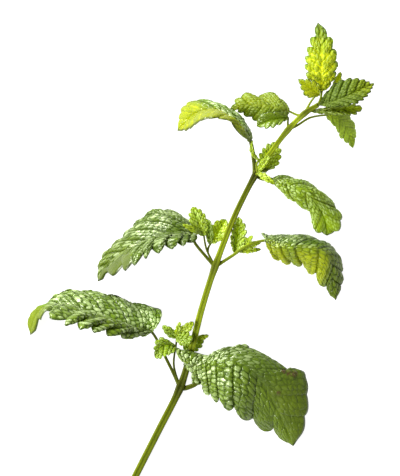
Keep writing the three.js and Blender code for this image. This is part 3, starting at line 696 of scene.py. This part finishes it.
def half_blade(leaf, side, division):
    """One half blade by rows from base to tip and columns from midrib to edge: points, places and finish."""
    hand = 0 if side > 0 else 1
    teeth, half_width = leaf["teeth"], leaf["half_width"]
    shares = np.linspace(0, 1, teeth * division["drawn_rows"] + 1)
    across = np.linspace(0, 1, division["columns"] + 1)
    midrib = smooth_curve(leaf["midrib"])
    length = midrib[1][-1]
    base, tip = leaf["midrib"][0], leaf["midrib"][-1]
    plan = leaf["right"] if side > 0 else leaf["left"]
    outline = smooth_curve([point[:2] for point in (base, *plan, tip)])
    ribs = along(midrib, vein_start(shares))
    edges = along(outline, shares)
    forward, outward = flat_edge(shares, length, half_width)
    vein_length = np.hypot(forward - length * vein_start(shares), outward)
    seen = np.hypot(edges[:, 0] - ribs[:, 0], edges[:, 1] - ribs[:, 1])
    heights = np.sqrt(np.maximum(0, vein_length**2 - seen**2))
    passes = SMOOTHING_PASSES * round(division["drawn_rows"] / division["smooth_rows"]) ** 2
    for _ in range(passes):
        heights[1:-1] = (heights[:-2] + 2 * heights[1:-1] + heights[2:]) / 4
        heights[[0, -1]] = 0
    heights *= ease(0, leaf.get("level_base", 0) + LEAST_SHARE, shares)
    edges[:, 2] = ribs[:, 2] + leaf["lie"][hand] * heights

    # Teeth between notches, each leaning to the tip, with a whole lobe at the base and at the tip
    notches = leaf["notches"][hand] if "notches" in leaf else np.arange(1, teeth) / teeth
    marks = np.array([0, *notches, 1])
    phase = np.interp(shares, marks, np.arange(len(marks)))
    step = phase - np.minimum(np.floor(phase), len(marks) - 2)
    crest = 0.5 ** (1 / TOOTH_SKEW)
    step = np.where(phase < 1, np.maximum(step, crest), step)
    step = np.where(phase > len(marks) - 2, np.minimum(step, crest), step)
    lobe = np.maximum(0, np.sin(np.pi * step**TOOTH_SKEW)) ** leaf.get("tooth_point", TOOTH_POINT)
    size = half_width * np.minimum(1, shares / PLAIN_BASE) * np.minimum(1, (1 - shares) / PLAIN_TIP)
    ahead = unit(np.gradient(edges, axis=0))
    veins = edges - ribs
    lengths = np.linalg.norm(veins, axis=1)
    outside = unit(veins - CUT_SQUARENESS * np.sum(veins * ahead, axis=1)[:, None] * ahead)
    depth = LEAST_BITE + BITE_SPREAD * scatter(np.round(phase), side, leaf["seed"])
    depth *= by_hand(leaf.get("bite", 1), hand)
    depth /= np.clip(np.hypot(outside[:, 0], outside[:, 1]), 1 / MOST_FORESHORTENING, 1)
    cut = np.minimum(TOOTH_DEPTH * size * depth * (1 - lobe), lengths * DEEPEST_NOTCH)
    edges = edges - outside * cut[:, None] + ahead * (TOOTH_LEAN * size * lobe)[:, None]

    veins = edges - ribs
    lengths = np.linalg.norm(veins, axis=1)
    normals = unit(side * np.cross(veins, headings(midrib, vein_start(shares))))
    if leaf.get("folded"):
        normals[:] = (0, 0, 1)
    arch = BLADE_ARCH * lengths[:, None] * 4 * across * (1 - across)
    fullness = half_width * np.minimum(1, lengths / half_width) * np.sin(np.pi * phase) ** 2
    quilt = QUILT_HEIGHT * fullness[:, None] * np.sin(np.pi * QUILT_REACH * across)
    points = ribs[:, None] + veins[:, None] * across[None, :, None]
    points = points + normals[:, None] * (arch + quilt)[..., None]

    # Rows of vein cells side by side in each strip between two side veins
    strips = np.diff(marks) * outline[1][-1]
    cell_rows = np.maximum(1, np.round(strips / (ROW_SHARE * cell_size(leaf))))
    row_marks = np.concatenate([[0], np.cumsum(cell_rows)])
    sweep = leaf.get("net_sweep", NET_SWEEP)
    swept = shares[:, None] + sweep * (1 - shares[:, None]) * (1 - across)

    def finish(key, half=hand):
        """A value of the finish on one half, by share of its edge."""
        return profile(by_hand(leaf["finish"].get(key, 0), half), shares)[:, None]

    inset = np.outer(lengths, 1 - across)
    own = 0.5 + 0.5 * ease(0, YELLOW_BLEND, across)
    yellow = finish("yellow") * own + finish("yellow", 1 - hand) * (1 - own)
    if "green_rim" in leaf["finish"]:
        rim = leaf["finish"]["green_rim"]
        yellow = yellow * (RIM_YELLOW + (1 - RIM_YELLOW) * ease(RIM_START * rim, rim, inset))
    plain_from = by_hand(leaf["finish"].get("plain_from", PLAIN_NOWHERE), hand)
    plain_rows = ease(plain_from - PLAIN_FADE, plain_from + PLAIN_FADE, shares)
    plain = np.outer(plain_rows, ease(*PLAIN_REACH, across))
    everywhere = np.ones_like(inset)
    return dict(
        points=points,
        share=shares[:, None] * everywhere,
        phase=np.interp(swept, marks, np.arange(len(marks))),
        out=side * np.outer(lengths, across),
        inset=inset,
        row=np.interp(swept, marks, row_marks),
        strip=np.interp(swept, marks[:-1], strips),
        yellow=yellow,
        quilting=finish("quilting") * (1 - PLAIN_SMOOTHNESS * plain),
        tone=finish("tone") * (1 - PLAIN_DARKNESS * plain),
        painted_sheen=finish("painted_sheen") * (1 - plain),
        matt=finish("matt") * everywhere,
    )


def facing(points, quads):
    """Unit normals at the points of a surface of quads."""
    corners = points[quads]
    faces = np.cross(corners[:, 2] - corners[:, 0], corners[:, 3] - corners[:, 1])
    normals = np.zeros_like(points)
    for corner in range(4):
        np.add.at(normals, quads[:, corner], faces)
    return unit(normals)


def blade(leaf):
    """A blade as a thin closed solid, quilted above and ribbed below, with its masks at each point."""
    division = next(d for d in DIVISIONS if leaf["half_width"] >= d["from_half_width"])
    right, left = (half_blade(leaf, side, division) for side in (1, -1))
    whole = {key: np.concatenate([left[key][:, :0:-1], right[key]], axis=1) for key in right}
    rows, columns = whole["share"].shape
    ids = np.arange(rows * columns).reshape(rows, columns)
    quads = quads_between(ids[:, :-1], ids[:, 1:])
    points = whole["points"].reshape(-1, 3)
    rounded = np.round(points, MERGE_DECIMALS)
    _, first, same = np.unique(rounded, axis=0, return_index=True, return_inverse=True)
    points, quads = points[first], same.reshape(-1)[quads]
    quads = quads[[len(set(quad)) > 2 for quad in quads.tolist()]]
    field = {key: whole[key].reshape(-1)[first] for key in whole if key != "points"}

    # The veins, from the midrib to the net between the side veins
    scale = min(1, leaf["half_width"] / FULL_HALF_WIDTH)
    cell = cell_size(leaf)
    midrib = np.abs(field["out"])
    side_seed = leaf["seed"] + np.where(field["out"] < 0, LEFT_SEED, 0)
    run = midrib / (CELL_LENGTH_SHARE * cell) + CELLS_BEFORE
    net, off_x, off_y, chance, other = cells(field["row"], run, side_seed, leaf.get("row_jitter", ROW_JITTER))
    dome = crown(net)
    fine_net, *_ = cells(FINE_ROWS * field["row"], FINE_ROWS * run, side_seed + FINE_SEED)
    fine = crown(fine_net) - 0.5
    side_vein = np.abs(field["phase"] - np.round(field["phase"])) * field["strip"]
    rim = ease(0, RIM_WIDTH * scale, field["inset"])
    root = ease(0, BASE_FADE, field["share"]) * ease(0, TIP_FADE, 1 - field["share"])
    inner = rim * root * field["quilting"] * ease(0, MIDRIB_RISE * cell, midrib + MIDRIB_START * cell)
    groove = bell(midrib, MIDRIB_WIDTH * scale + LEAST_MIDRIB_WIDTH)
    vein_width = leaf["finish"].get("vein_width", 1) * (SIDE_VEIN_WIDTH * scale + LEAST_VEIN_WIDTH)
    crease = bell(side_vein, vein_width)
    swell = CELL_HEIGHT_SHARE * (LEAST_SWELL + SWELL_SPREAD * chance) * (dome - 0.5)
    tilt = CELL_TILT * dome * ((other - 0.5) * off_y + (chance - 0.5) * off_x)
    relief = cell * (swell + tilt + FINE_CELL_HEIGHT_SHARE * fine) * inner
    relief -= SIDE_VEIN_DEPTH * scale * crease * inner
    relief -= MIDRIB_DEPTH * scale * groove * root
    relief -= MARGIN_ROLL * scale * (1 - rim) ** 2 * root
    points = points + facing(points, quads) * relief[:, None]

    # The upper and lower face, joined round the edge
    normals = facing(points, quads)
    thin = BLADE_THICKNESS / 2 * (1 - EDGE_THINNING * (1 - rim))
    taper = 1 - RIB_TAPER * field["share"]
    ribs = scale * taper * (RIB_DEPTH * groove + SIDE_RIB_DEPTH * crease * rim) * root
    upper = points + normals * thin[:, None]
    lower = points - normals * (thin + ribs)[:, None]
    lower[:, 2] = np.maximum(lower[:, 2], TABLE_GAP)
    upper[:, 2] = np.maximum(upper[:, 2], TABLE_GAP + thin)
    count = len(points)
    starts, ends = quads.reshape(-1), np.roll(quads, -1, axis=1).reshape(-1)
    free = (starts != ends) & ~np.isin(starts * count + ends, ends * count + starts)
    a, b = starts[free], ends[free]
    walls = np.stack([b, a, a + count, b + count], axis=1)
    faces = np.vstack([quads, quads[:, ::-1] + count, walls])

    # The masks that the material reads
    scar = np.zeros(count)
    for x, y, reach in leaf.get("scars", []):
        scar = np.maximum(scar, bell(np.hypot(points[:, 0] - x, points[:, 1] - y), reach))
    strength = np.minimum(1, field["quilting"])
    net_line = NET_MASK * bell(net, leaf["finish"].get("line_width", NET_LINE_WIDTH))
    masks = dict(
        # The material paints shade where the pillow mask is low, in the hollows between cells, and where the
        # line mask is high, along net lines and side veins
        pillow=1 - (1 - dome) * strength,
        vein=np.maximum(np.maximum(MIDRIB_MASK * groove, crease), net_line),
        smooth=1 - strength,
        line=np.maximum(net_line, crease) * rim * strength**2,
        painted_sheen=field["painted_sheen"] * ease(*PAINTED_SHEEN_REACH, net) * (1 - crease) * other * rim,
        edge=1 - rim,
        yellow=field["yellow"],
        tone=field["tone"],
        matt=field["matt"],
        glow=np.full(count, leaf["finish"].get("glow", 0)),
        scar=scar,
    )
    masks = {key: np.concatenate([value, value]) for key, value in masks.items()}
    masks["under"] = np.repeat([0.0, 1.0], count)
    return dict(points=np.vstack([upper, lower]), faces=faces, masks=masks, material=0)


# Stalks and stem
def rod(path, outline, steps, half_width_at, lowest=0):
    """A closed rod along a curve. outline gives the section's reach by angle, from its side over its top."""
    curve = smooth_curve(path)
    shares = np.linspace(0, 1, steps + 1)
    centres = along(curve, shares)
    centres[:, 2] = np.maximum(centres[:, 2], lowest)
    heading = headings(curve, shares)
    side = unit(np.cross(heading, (0, 0, 1)))
    up = np.cross(side, heading)
    angles = turn(len(outline))[None, :, None]
    half = half_width_at(shares)[:, None, None]
    ring = np.cos(angles) * side[:, None] + np.sin(angles) * up[:, None]
    points = centres[:, None] + ring * half * outline[None, :, None]
    rows, sides = points.shape[:2]
    ids = np.arange(rows * sides).reshape(rows, sides)
    ahead = np.roll(ids, -1, axis=1)
    quads = quads_between(ids, ahead)
    first, last = rows * sides, rows * sides + 1
    start_cap = np.stack([ahead[0], ids[0], np.full(sides, first), np.full(sides, first)], axis=1)
    end_cap = np.stack([ids[-1], ahead[-1], np.full(sides, last), np.full(sides, last)], axis=1)
    points = np.vstack([points.reshape(-1, 3), centres[:1], centres[-1:]])
    ridge = np.concatenate([np.tile(outline / outline.max(), rows), [0, 0]])
    return dict(
        points=points,
        faces=np.vstack([quads, start_cap, end_cap]),
        run=np.concatenate([np.repeat(shares, sides), [0, 1]]),
        masks=dict(ridge=ridge, tone=np.ones(len(points))),
        material=1,
    )


STALK_OUTLINE = 1 - CHANNEL_DEPTH * bell(turn(STALK_SIDES) - np.pi / 2, CHANNEL_WIDTH)


def stalk(path, width, tone):
    """A leaf stalk: a rod with a channel along its upper side, wider where it leaves the stem."""
    def half_width_at(shares):
        taper = 1 + (STALK_END_SHARE - 1) * shares
        return width / 2 * taper * (1 + STALK_FLARE * bell(shares, STALK_FLARE_REACH))
    made = rod(path, STALK_OUTLINE, STALK_STEPS, half_width_at)
    made["masks"]["tone"] *= tone
    return made


around = turn(STEM_SIDES)
square = np.abs(np.cos(around)) ** SQUARENESS + np.abs(np.sin(around)) ** SQUARENESS
from_face = np.abs((around + np.pi / 4) % (np.pi / 2) - np.pi / 4)
STEM_OUTLINE = square ** (-1 / SQUARENESS) - FACE_GROOVE * bell(from_face, FACE_GROOVE_WIDTH)


def stem():
    """The stem: square with grooved faces, tapering above the first leaves, swollen where leaves leave it."""
    curve = smooth_curve(STEM_PATH)
    fine = np.linspace(0, 1, NODE_SEARCH_STEPS)
    line = along(curve, fine)
    node_shares = [fine[np.argmin(np.linalg.norm(line - node, axis=1))] for node in STEM_NODES]

    def from_node(shares):
        return np.min([np.abs(shares - node) for node in node_shares], axis=0)

    def half_width_at(shares):
        taper = np.maximum(0, shares - node_shares[0]) / (1 - node_shares[0])
        swelling = NODE_SWELLING * bell(from_node(shares), NODE_REACH)
        ring = NODE_RING * bell(from_node(shares), NODE_RING_REACH)
        return (STEM_WIDTH + (STEM_TIP_WIDTH - STEM_WIDTH) * taper) / 2 * (1 + swelling + ring)

    made = rod(STEM_PATH, STEM_OUTLINE, STEM_STEPS, half_width_at, REST_HEIGHT)
    made["masks"]["node"] = bell(from_node(made["run"]), NODE_STAIN_REACH * NODE_REACH)
    nodes_passed = np.interp(made["run"], [0, *node_shares, 1], range(len(node_shares) + 2))
    made["masks"]["tone"] = profile(STEM_TONES, nodes_passed)
    return made


# Young leaves
def young_leaf(
    base, tip, half_width, show, bow=1, bend=0, teeth=4, bite=YOUNG_BITE, yellow=YOUNG_YELLOW,
    outline=YOUNG_OUTLINE,
):
    """A small leaf of a shoot, in the form of the large ones."""
    start = np.array(base, float)
    run = np.array(tip, float) - start
    flat = np.hypot(run[0], run[1])
    right = np.array([run[1], -run[0], 0]) / flat

    def rib_at(share):
        swell = 4 * share * (1 - share)
        return start + run * share + right * bend * flat * swell + np.array([0, 0, bow * swell])

    def edge(side, shown):
        return [rib_at(share) + right * side * half_width * shown * width for share, width in outline]

    return dict(
        folded=True,
        half_width=half_width,
        teeth=teeth,
        bite=bite,
        lie=(RISES, RISES),
        midrib=[rib_at(share) for share in (0, 1 / 3, 2 / 3, 1)],
        right=[point[:2] for point in edge(1, by_hand(show, 0))],
        left=[point[:2] for point in edge(-1, by_hand(show, 1))],
        finish=dict(YOUNG_FINISH, yellow=yellow),
    )


# Materials
def new_material(name):
    made = bpy.data.materials.new(name)
    made.use_nodes = True
    made.node_tree.nodes.clear()
    return made, made.node_tree


def add(tree, kind, inputs=None, **settings):
    """The outputs of a new node, whose inputs are set to values or linked to other nodes' outputs."""
    made = tree.nodes.new("ShaderNode" + kind)
    for key, value in settings.items():
        setattr(made, key, value)
    for key, value in (inputs or {}).items():
        if isinstance(value, bpy.types.NodeSocket):
            tree.links.new(value, made.inputs[key])
        else:
            made.inputs[key].default_value = value
    return made.outputs


def mask(tree, name):
    return add(tree, "Attribute", attribute_name=name)["Fac"]


def blend(share, first, second):
    """A mix of two colours; each is a colour or a socket."""
    pair = (first, second)
    first, second = (each if isinstance(each, bpy.types.NodeSocket) else (*each, 1) for each in pair)
    return add(share.id_data, "Mix", {0: share, 6: first, 7: second}, data_type="RGBA")[2]


def tinted(colour, goal, value, most=1.0, low=0.0, high=1.0):
    """A colour that turns to another as a value rises from low to high."""
    return blend(span(value, low, high, 0, most), colour, goal)


def scaled(colour, factor):
    return add(colour.id_data, "VectorMath", {0: colour, "Scale": factor}, operation="SCALE")[0]


def product(first, *others):
    """The product of several values."""
    for other in others:
        first = add(first.id_data, "Math", {0: first, 1: other}, operation="MULTIPLY")[0]
    return first


def span(value, low, high, to_low=0.0, to_high=1.0):
    """A value mapped from one range to another."""
    inputs = {0: value, 1: low, 2: high, 3: to_low, 4: to_high}
    return add(value.id_data, "MapRange", inputs)[0]


def noise(tree, scale, detail):
    place = add(tree, "TexCoord")["Object"]
    inputs = {"Vector": place, "Scale": scale, "Detail": detail, "Roughness": NOISE_ROUGHNESS}
    return add(tree, "TexNoise", inputs)["Fac"]


def leaf_material():
    made, tree = new_material("lemon_balm_leaf")
    pillow, vein, smooth, line, painted_sheen, edge, yellow, tone, matt, glow, scar, under = (
        mask(tree, name) for name in LEAF_MASKS
    )
    patches, mottle = noise(tree, *PATCHES), noise(tree, *MOTTLE)
    grain = noise(tree, *LEAF_GRAIN)
    # Painted shade: darker in the hollows between the cells and along the net lines and side veins
    green = blend(span(pillow, 0, 1, 0.2, 1), DARK_GREEN_AND_PAINTED_SHADE, GREEN_PILLOW)
    green = tinted(green, DARK_GREEN_AND_PAINTED_SHADE, line, most=0.85)
    pale_vein = product(smooth, span(vein, 0.4, 1))
    green = tinted(green, GREEN_VEIN, pale_vein, most=0.8)
    lit_vein = product(glow, span(vein, 0.15, 0.7), span(mottle, 0.35, 0.6, 0.3, 1))
    # Painted shade along the net lines and side veins, left out where the veins shine through
    painted_line_shade = product(line, span(glow, 0, 1, 1, 0))
    gold = blend(pillow, YELLOW_PAINTED_SHADE, YELLOW_PILLOW)
    gold = tinted(gold, YELLOW_PAINTED_SHADE, painted_line_shade, most=0.4)
    gold = blend(lit_vein, gold, YELLOW_VEIN)
    colour = blend(yellow, green, gold)
    colour = tinted(colour, DARK_GREEN_AND_PAINTED_SHADE, patches, most=0.4, low=0.45, high=0.7)
    colour = tinted(colour, GREEN_PILLOW, grain, most=0.25, low=0.45, high=0.75)
    # Painted sheen: a pale highlight painted on the crests of the cells
    colour = tinted(colour, PAINTED_SHEEN_COLOUR, painted_sheen, most=0.75, low=0.15, high=0.9)
    # Darker green towards the edge
    colour = tinted(colour, EDGE_DARK_AND_PAINTED_SHADE, edge, most=0.75, low=0.15, high=0.8)
    colour = tinted(colour, UNDERSIDE, under, most=0.65)
    colour = scaled(colour, tone)
    blotch = product(scar, span(grain, 0.35, 0.65))
    colour = tinted(colour, SCAR_BROWN, blotch, low=0.05, high=0.35)
    dull = add(tree, "Math", {0: under, 1: matt}, operation="MAXIMUM")[0]
    uneven, extra = span(grain, 0.3, 0.7, 0.2, 0.36), span(dull, 0, 1, 0, 0.3)
    roughness = add(tree, "Math", {0: uneven, 1: extra}, operation="ADD")[0]
    open_sky = span(line, 0, 1, 1, 0.1)
    bump = add(tree, "Bump", {"Strength": 0.35, "Distance": 0.00012, "Height": grain})
    surface = add(tree, "BsdfPrincipled", {
        "Base Color": colour,
        "Roughness": roughness,
        "Specular IOR Level": product(span(dull, 0, 1, 0.9, 0.3), open_sky),
        "Specular Tint": (0.95, 1, 0.8, 1),
        "Normal": bump[0],
    })
    through = tinted(YELLOW_THROUGH, CELL_THROUGH, glow, most=0.8)
    through = blend(lit_vein, through, YELLOW_VEIN_THROUGH)
    # Painted shade along the net lines and side veins, in the light that comes through
    green_through = tinted(GREEN_THROUGH, EDGE_DARK_AND_PAINTED_SHADE, painted_line_shade, most=0.85)
    through = blend(yellow, green_through, through)
    through = tinted(through, EDGE_DARK_AND_PAINTED_SHADE, painted_line_shade, most=0.45)
    through = tinted(through, EDGE_DARK_AND_PAINTED_SHADE, edge, most=0.75, low=0.15, high=0.8)
    through = scaled(through, tone)
    passed = add(tree, "BsdfTranslucent", {"Color": through, "Normal": bump[0]})
    share = span(yellow, 0, 1, 0.3, 0.55)
    both = add(tree, "MixShader", {0: share, 1: surface[0], 2: passed[0]})
    add(tree, "OutputMaterial", {"Surface": both[0]})
    return made


def stem_material(name, light, dark):
    made, tree = new_material(name)
    ridge, knot = mask(tree, "ridge"), mask(tree, "node")
    streaks, grain = noise(tree, *STREAKS), noise(tree, *STEM_GRAIN)
    colour = tinted(dark, light, ridge, low=0.72)
    colour = tinted(colour, dark, streaks, most=0.5, low=0.4, high=0.7)
    colour = tinted(colour, NODE_GREEN, knot, most=0.7)
    colour = scaled(colour, mask(tree, "tone"))
    bump = add(tree, "Bump", {"Strength": 0.3, "Distance": 0.0001, "Height": grain})
    surface = add(tree, "BsdfPrincipled", {
        "Base Color": colour,
        "Roughness": span(grain, 0.3, 0.7, 0.36, 0.52),
        "Specular IOR Level": 0.15,
        "Specular Tint": (1, 1, 0.4, 1),
        "Subsurface Weight": 0.15,
        "Subsurface Radius": (0.0012, 0.0014, 0.0004),
        "Normal": bump[0],
    })
    add(tree, "OutputMaterial", {"Surface": surface[0]})
    return made


LEAF = leaf_material()
STEM = stem_material("lemon_balm_stem", STEM_LIGHT, STEM_DARK)
STALK = stem_material("lemon_balm_stalk", STALK_LIGHT, STALK_DARK)

# Pieces: each takes the place of the solid of the same name
SHIFT = np.array(frame["record"]["mounts"][0]["pos_m"]) / METRES - REST_FACE


def put(name, data, place=(0, 0, 0)):
    """A new object in the scene."""
    made = bpy.data.objects.new(name, data)
    made.location = place
    scene.collection.objects.link(made)
    return made


def piece(name, shapes, slot):
    """One mesh object from several shapes, which rides on the part and stands for its solid."""
    points, faces, slots = [], [], []
    masks = {key: [] for key in MASKS}
    count = 0
    for shape in shapes:
        size = len(shape["points"])
        points.append(shape["points"])
        for face in (shape["faces"] + count).tolist():
            faces.append(list(dict.fromkeys(face)))
        slots += [shape["material"]] * len(shape["faces"])
        for key in MASKS:
            masks[key].append(shape["masks"].get(key, np.zeros(size)))
        count += size
    mesh = bpy.data.meshes.new(name)
    mesh.from_pydata(((np.vstack(points) + SHIFT) * METRES).tolist(), [], faces)
    for key in MASKS:
        attribute = mesh.attributes.new(key, "FLOAT", "POINT")
        attribute.data.foreach_set("value", np.concatenate(masks[key]).astype(np.float32))
    for finish in (LEAF, STEM if slot == "stem" else STALK):
        mesh.materials.append(finish)
    mesh.polygons.foreach_set("material_index", np.array(slots, np.int32))
    mesh.polygons.foreach_set("use_smooth", np.ones(len(faces), bool))
    mesh.update()
    made = put(name + "_fine", mesh)
    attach(made, "root")
    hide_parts(name)


piece("main_stem", [stem()], "stem")
seed = 1
for name, leaf in LEAVES.items():
    leaf.update(seed=seed, finish=FINISH[name])
    seed += 1
    width = YOUNG_STALK_WIDTH if leaf["half_width"] < YOUNG_HALF_WIDTH else STALK_WIDTH
    width = leaf.get("stalk_width", width)
    drop = np.array([0, 0, ROOT_DROP * width])
    root = along(smooth_curve(leaf["midrib"]), RIB_ROOT_SHARE) - drop
    path = [*leaf["stalk"], leaf["midrib"][0] - drop / 2, root]
    tone = STALK_TONES.get(name, YOUNG_STALK_TONE)
    piece(name, [blade(leaf), stalk(path, width, tone)], "young_leaf" if name in YOUNG_LEAVES else "leaf")
for name, shoot in SHOOTS.items():
    tone = STALK_TONES.get(name, YOUNG_STALK_TONE)
    shapes = [stalk(path, YOUNG_STALK_WIDTH, tone) for path in shoot["stalks"]]
    for form in shoot["leaves"]:
        small = young_leaf(**form)
        small.update(seed=seed, finish=FINISH.get(name, small["finish"]))
        seed += 1
        shapes.append(blade(small))
    piece(name, shapes, "young_leaf")


# Table, light and camera
def table_material():
    made, tree = new_material("pale_table")
    colour = blend(noise(tree, *FIBRES), TABLE_DARK, TABLE_LIGHT)
    surface = add(tree, "BsdfPrincipled", {
        "Base Color": colour,
        "Roughness": 0.8,
        "Specular IOR Level": 0.1,
        "Emission Color": (1, 1, 1, 1),
        "Emission Strength": 0.95,
    })
    add(tree, "OutputMaterial", {"Surface": surface[0]})
    return made


half = TABLE_SIZE / 2
corners = [(-half, -half, 0), (half, -half, 0), (half, half, 0), (-half, half, 0)]
table = bpy.data.meshes.new("table")
table.from_pydata(corners, [], [(0, 1, 2, 3)])
table.materials.append(table_material())
put("table_top", table, (0, 0, -TABLE_DROP))


def soft_light(name, place, power, colour):
    """A square lamp panel that faces the sprig."""
    lamp = bpy.data.lights.new(name, "AREA")
    lamp.size = LAMP_SIZE
    lamp.energy = power
    lamp.color = colour
    made = put(name, lamp, place)
    made.rotation_mode = "QUATERNION"
    made.rotation_quaternion = made.location.to_track_quat("Z", "Y")


for lamp in LAMPS:
    soft_light(**lamp)

world = bpy.data.worlds.new("studio")
world.use_nodes = True
sky = world.node_tree
sky.nodes.clear()
height = add(sky, "SeparateXYZ", {0: add(sky, "TexCoord")["Generated"]})
brightness = span(height[2], 0, SKY_TOP, SKY_LOW, SKY_HIGH)
air = add(sky, "Background", {"Color": (1, 1, 1, 1), "Strength": brightness})
add(sky, "OutputWorld", {"Surface": air[0]})
scene.world = world
scene.view_settings.view_transform = "Standard"

lens = bpy.data.cameras.new("camera")
lens.sensor_width = 36
lens.lens = lens.sensor_width * VIEW_DISTANCE / VIEW_HEIGHT
lens.clip_end = 100
above = (SHIFT[0] * METRES, SHIFT[1] * METRES, MEAN_HEIGHT + VIEW_DISTANCE)
scene.camera = put("camera", lens, above)
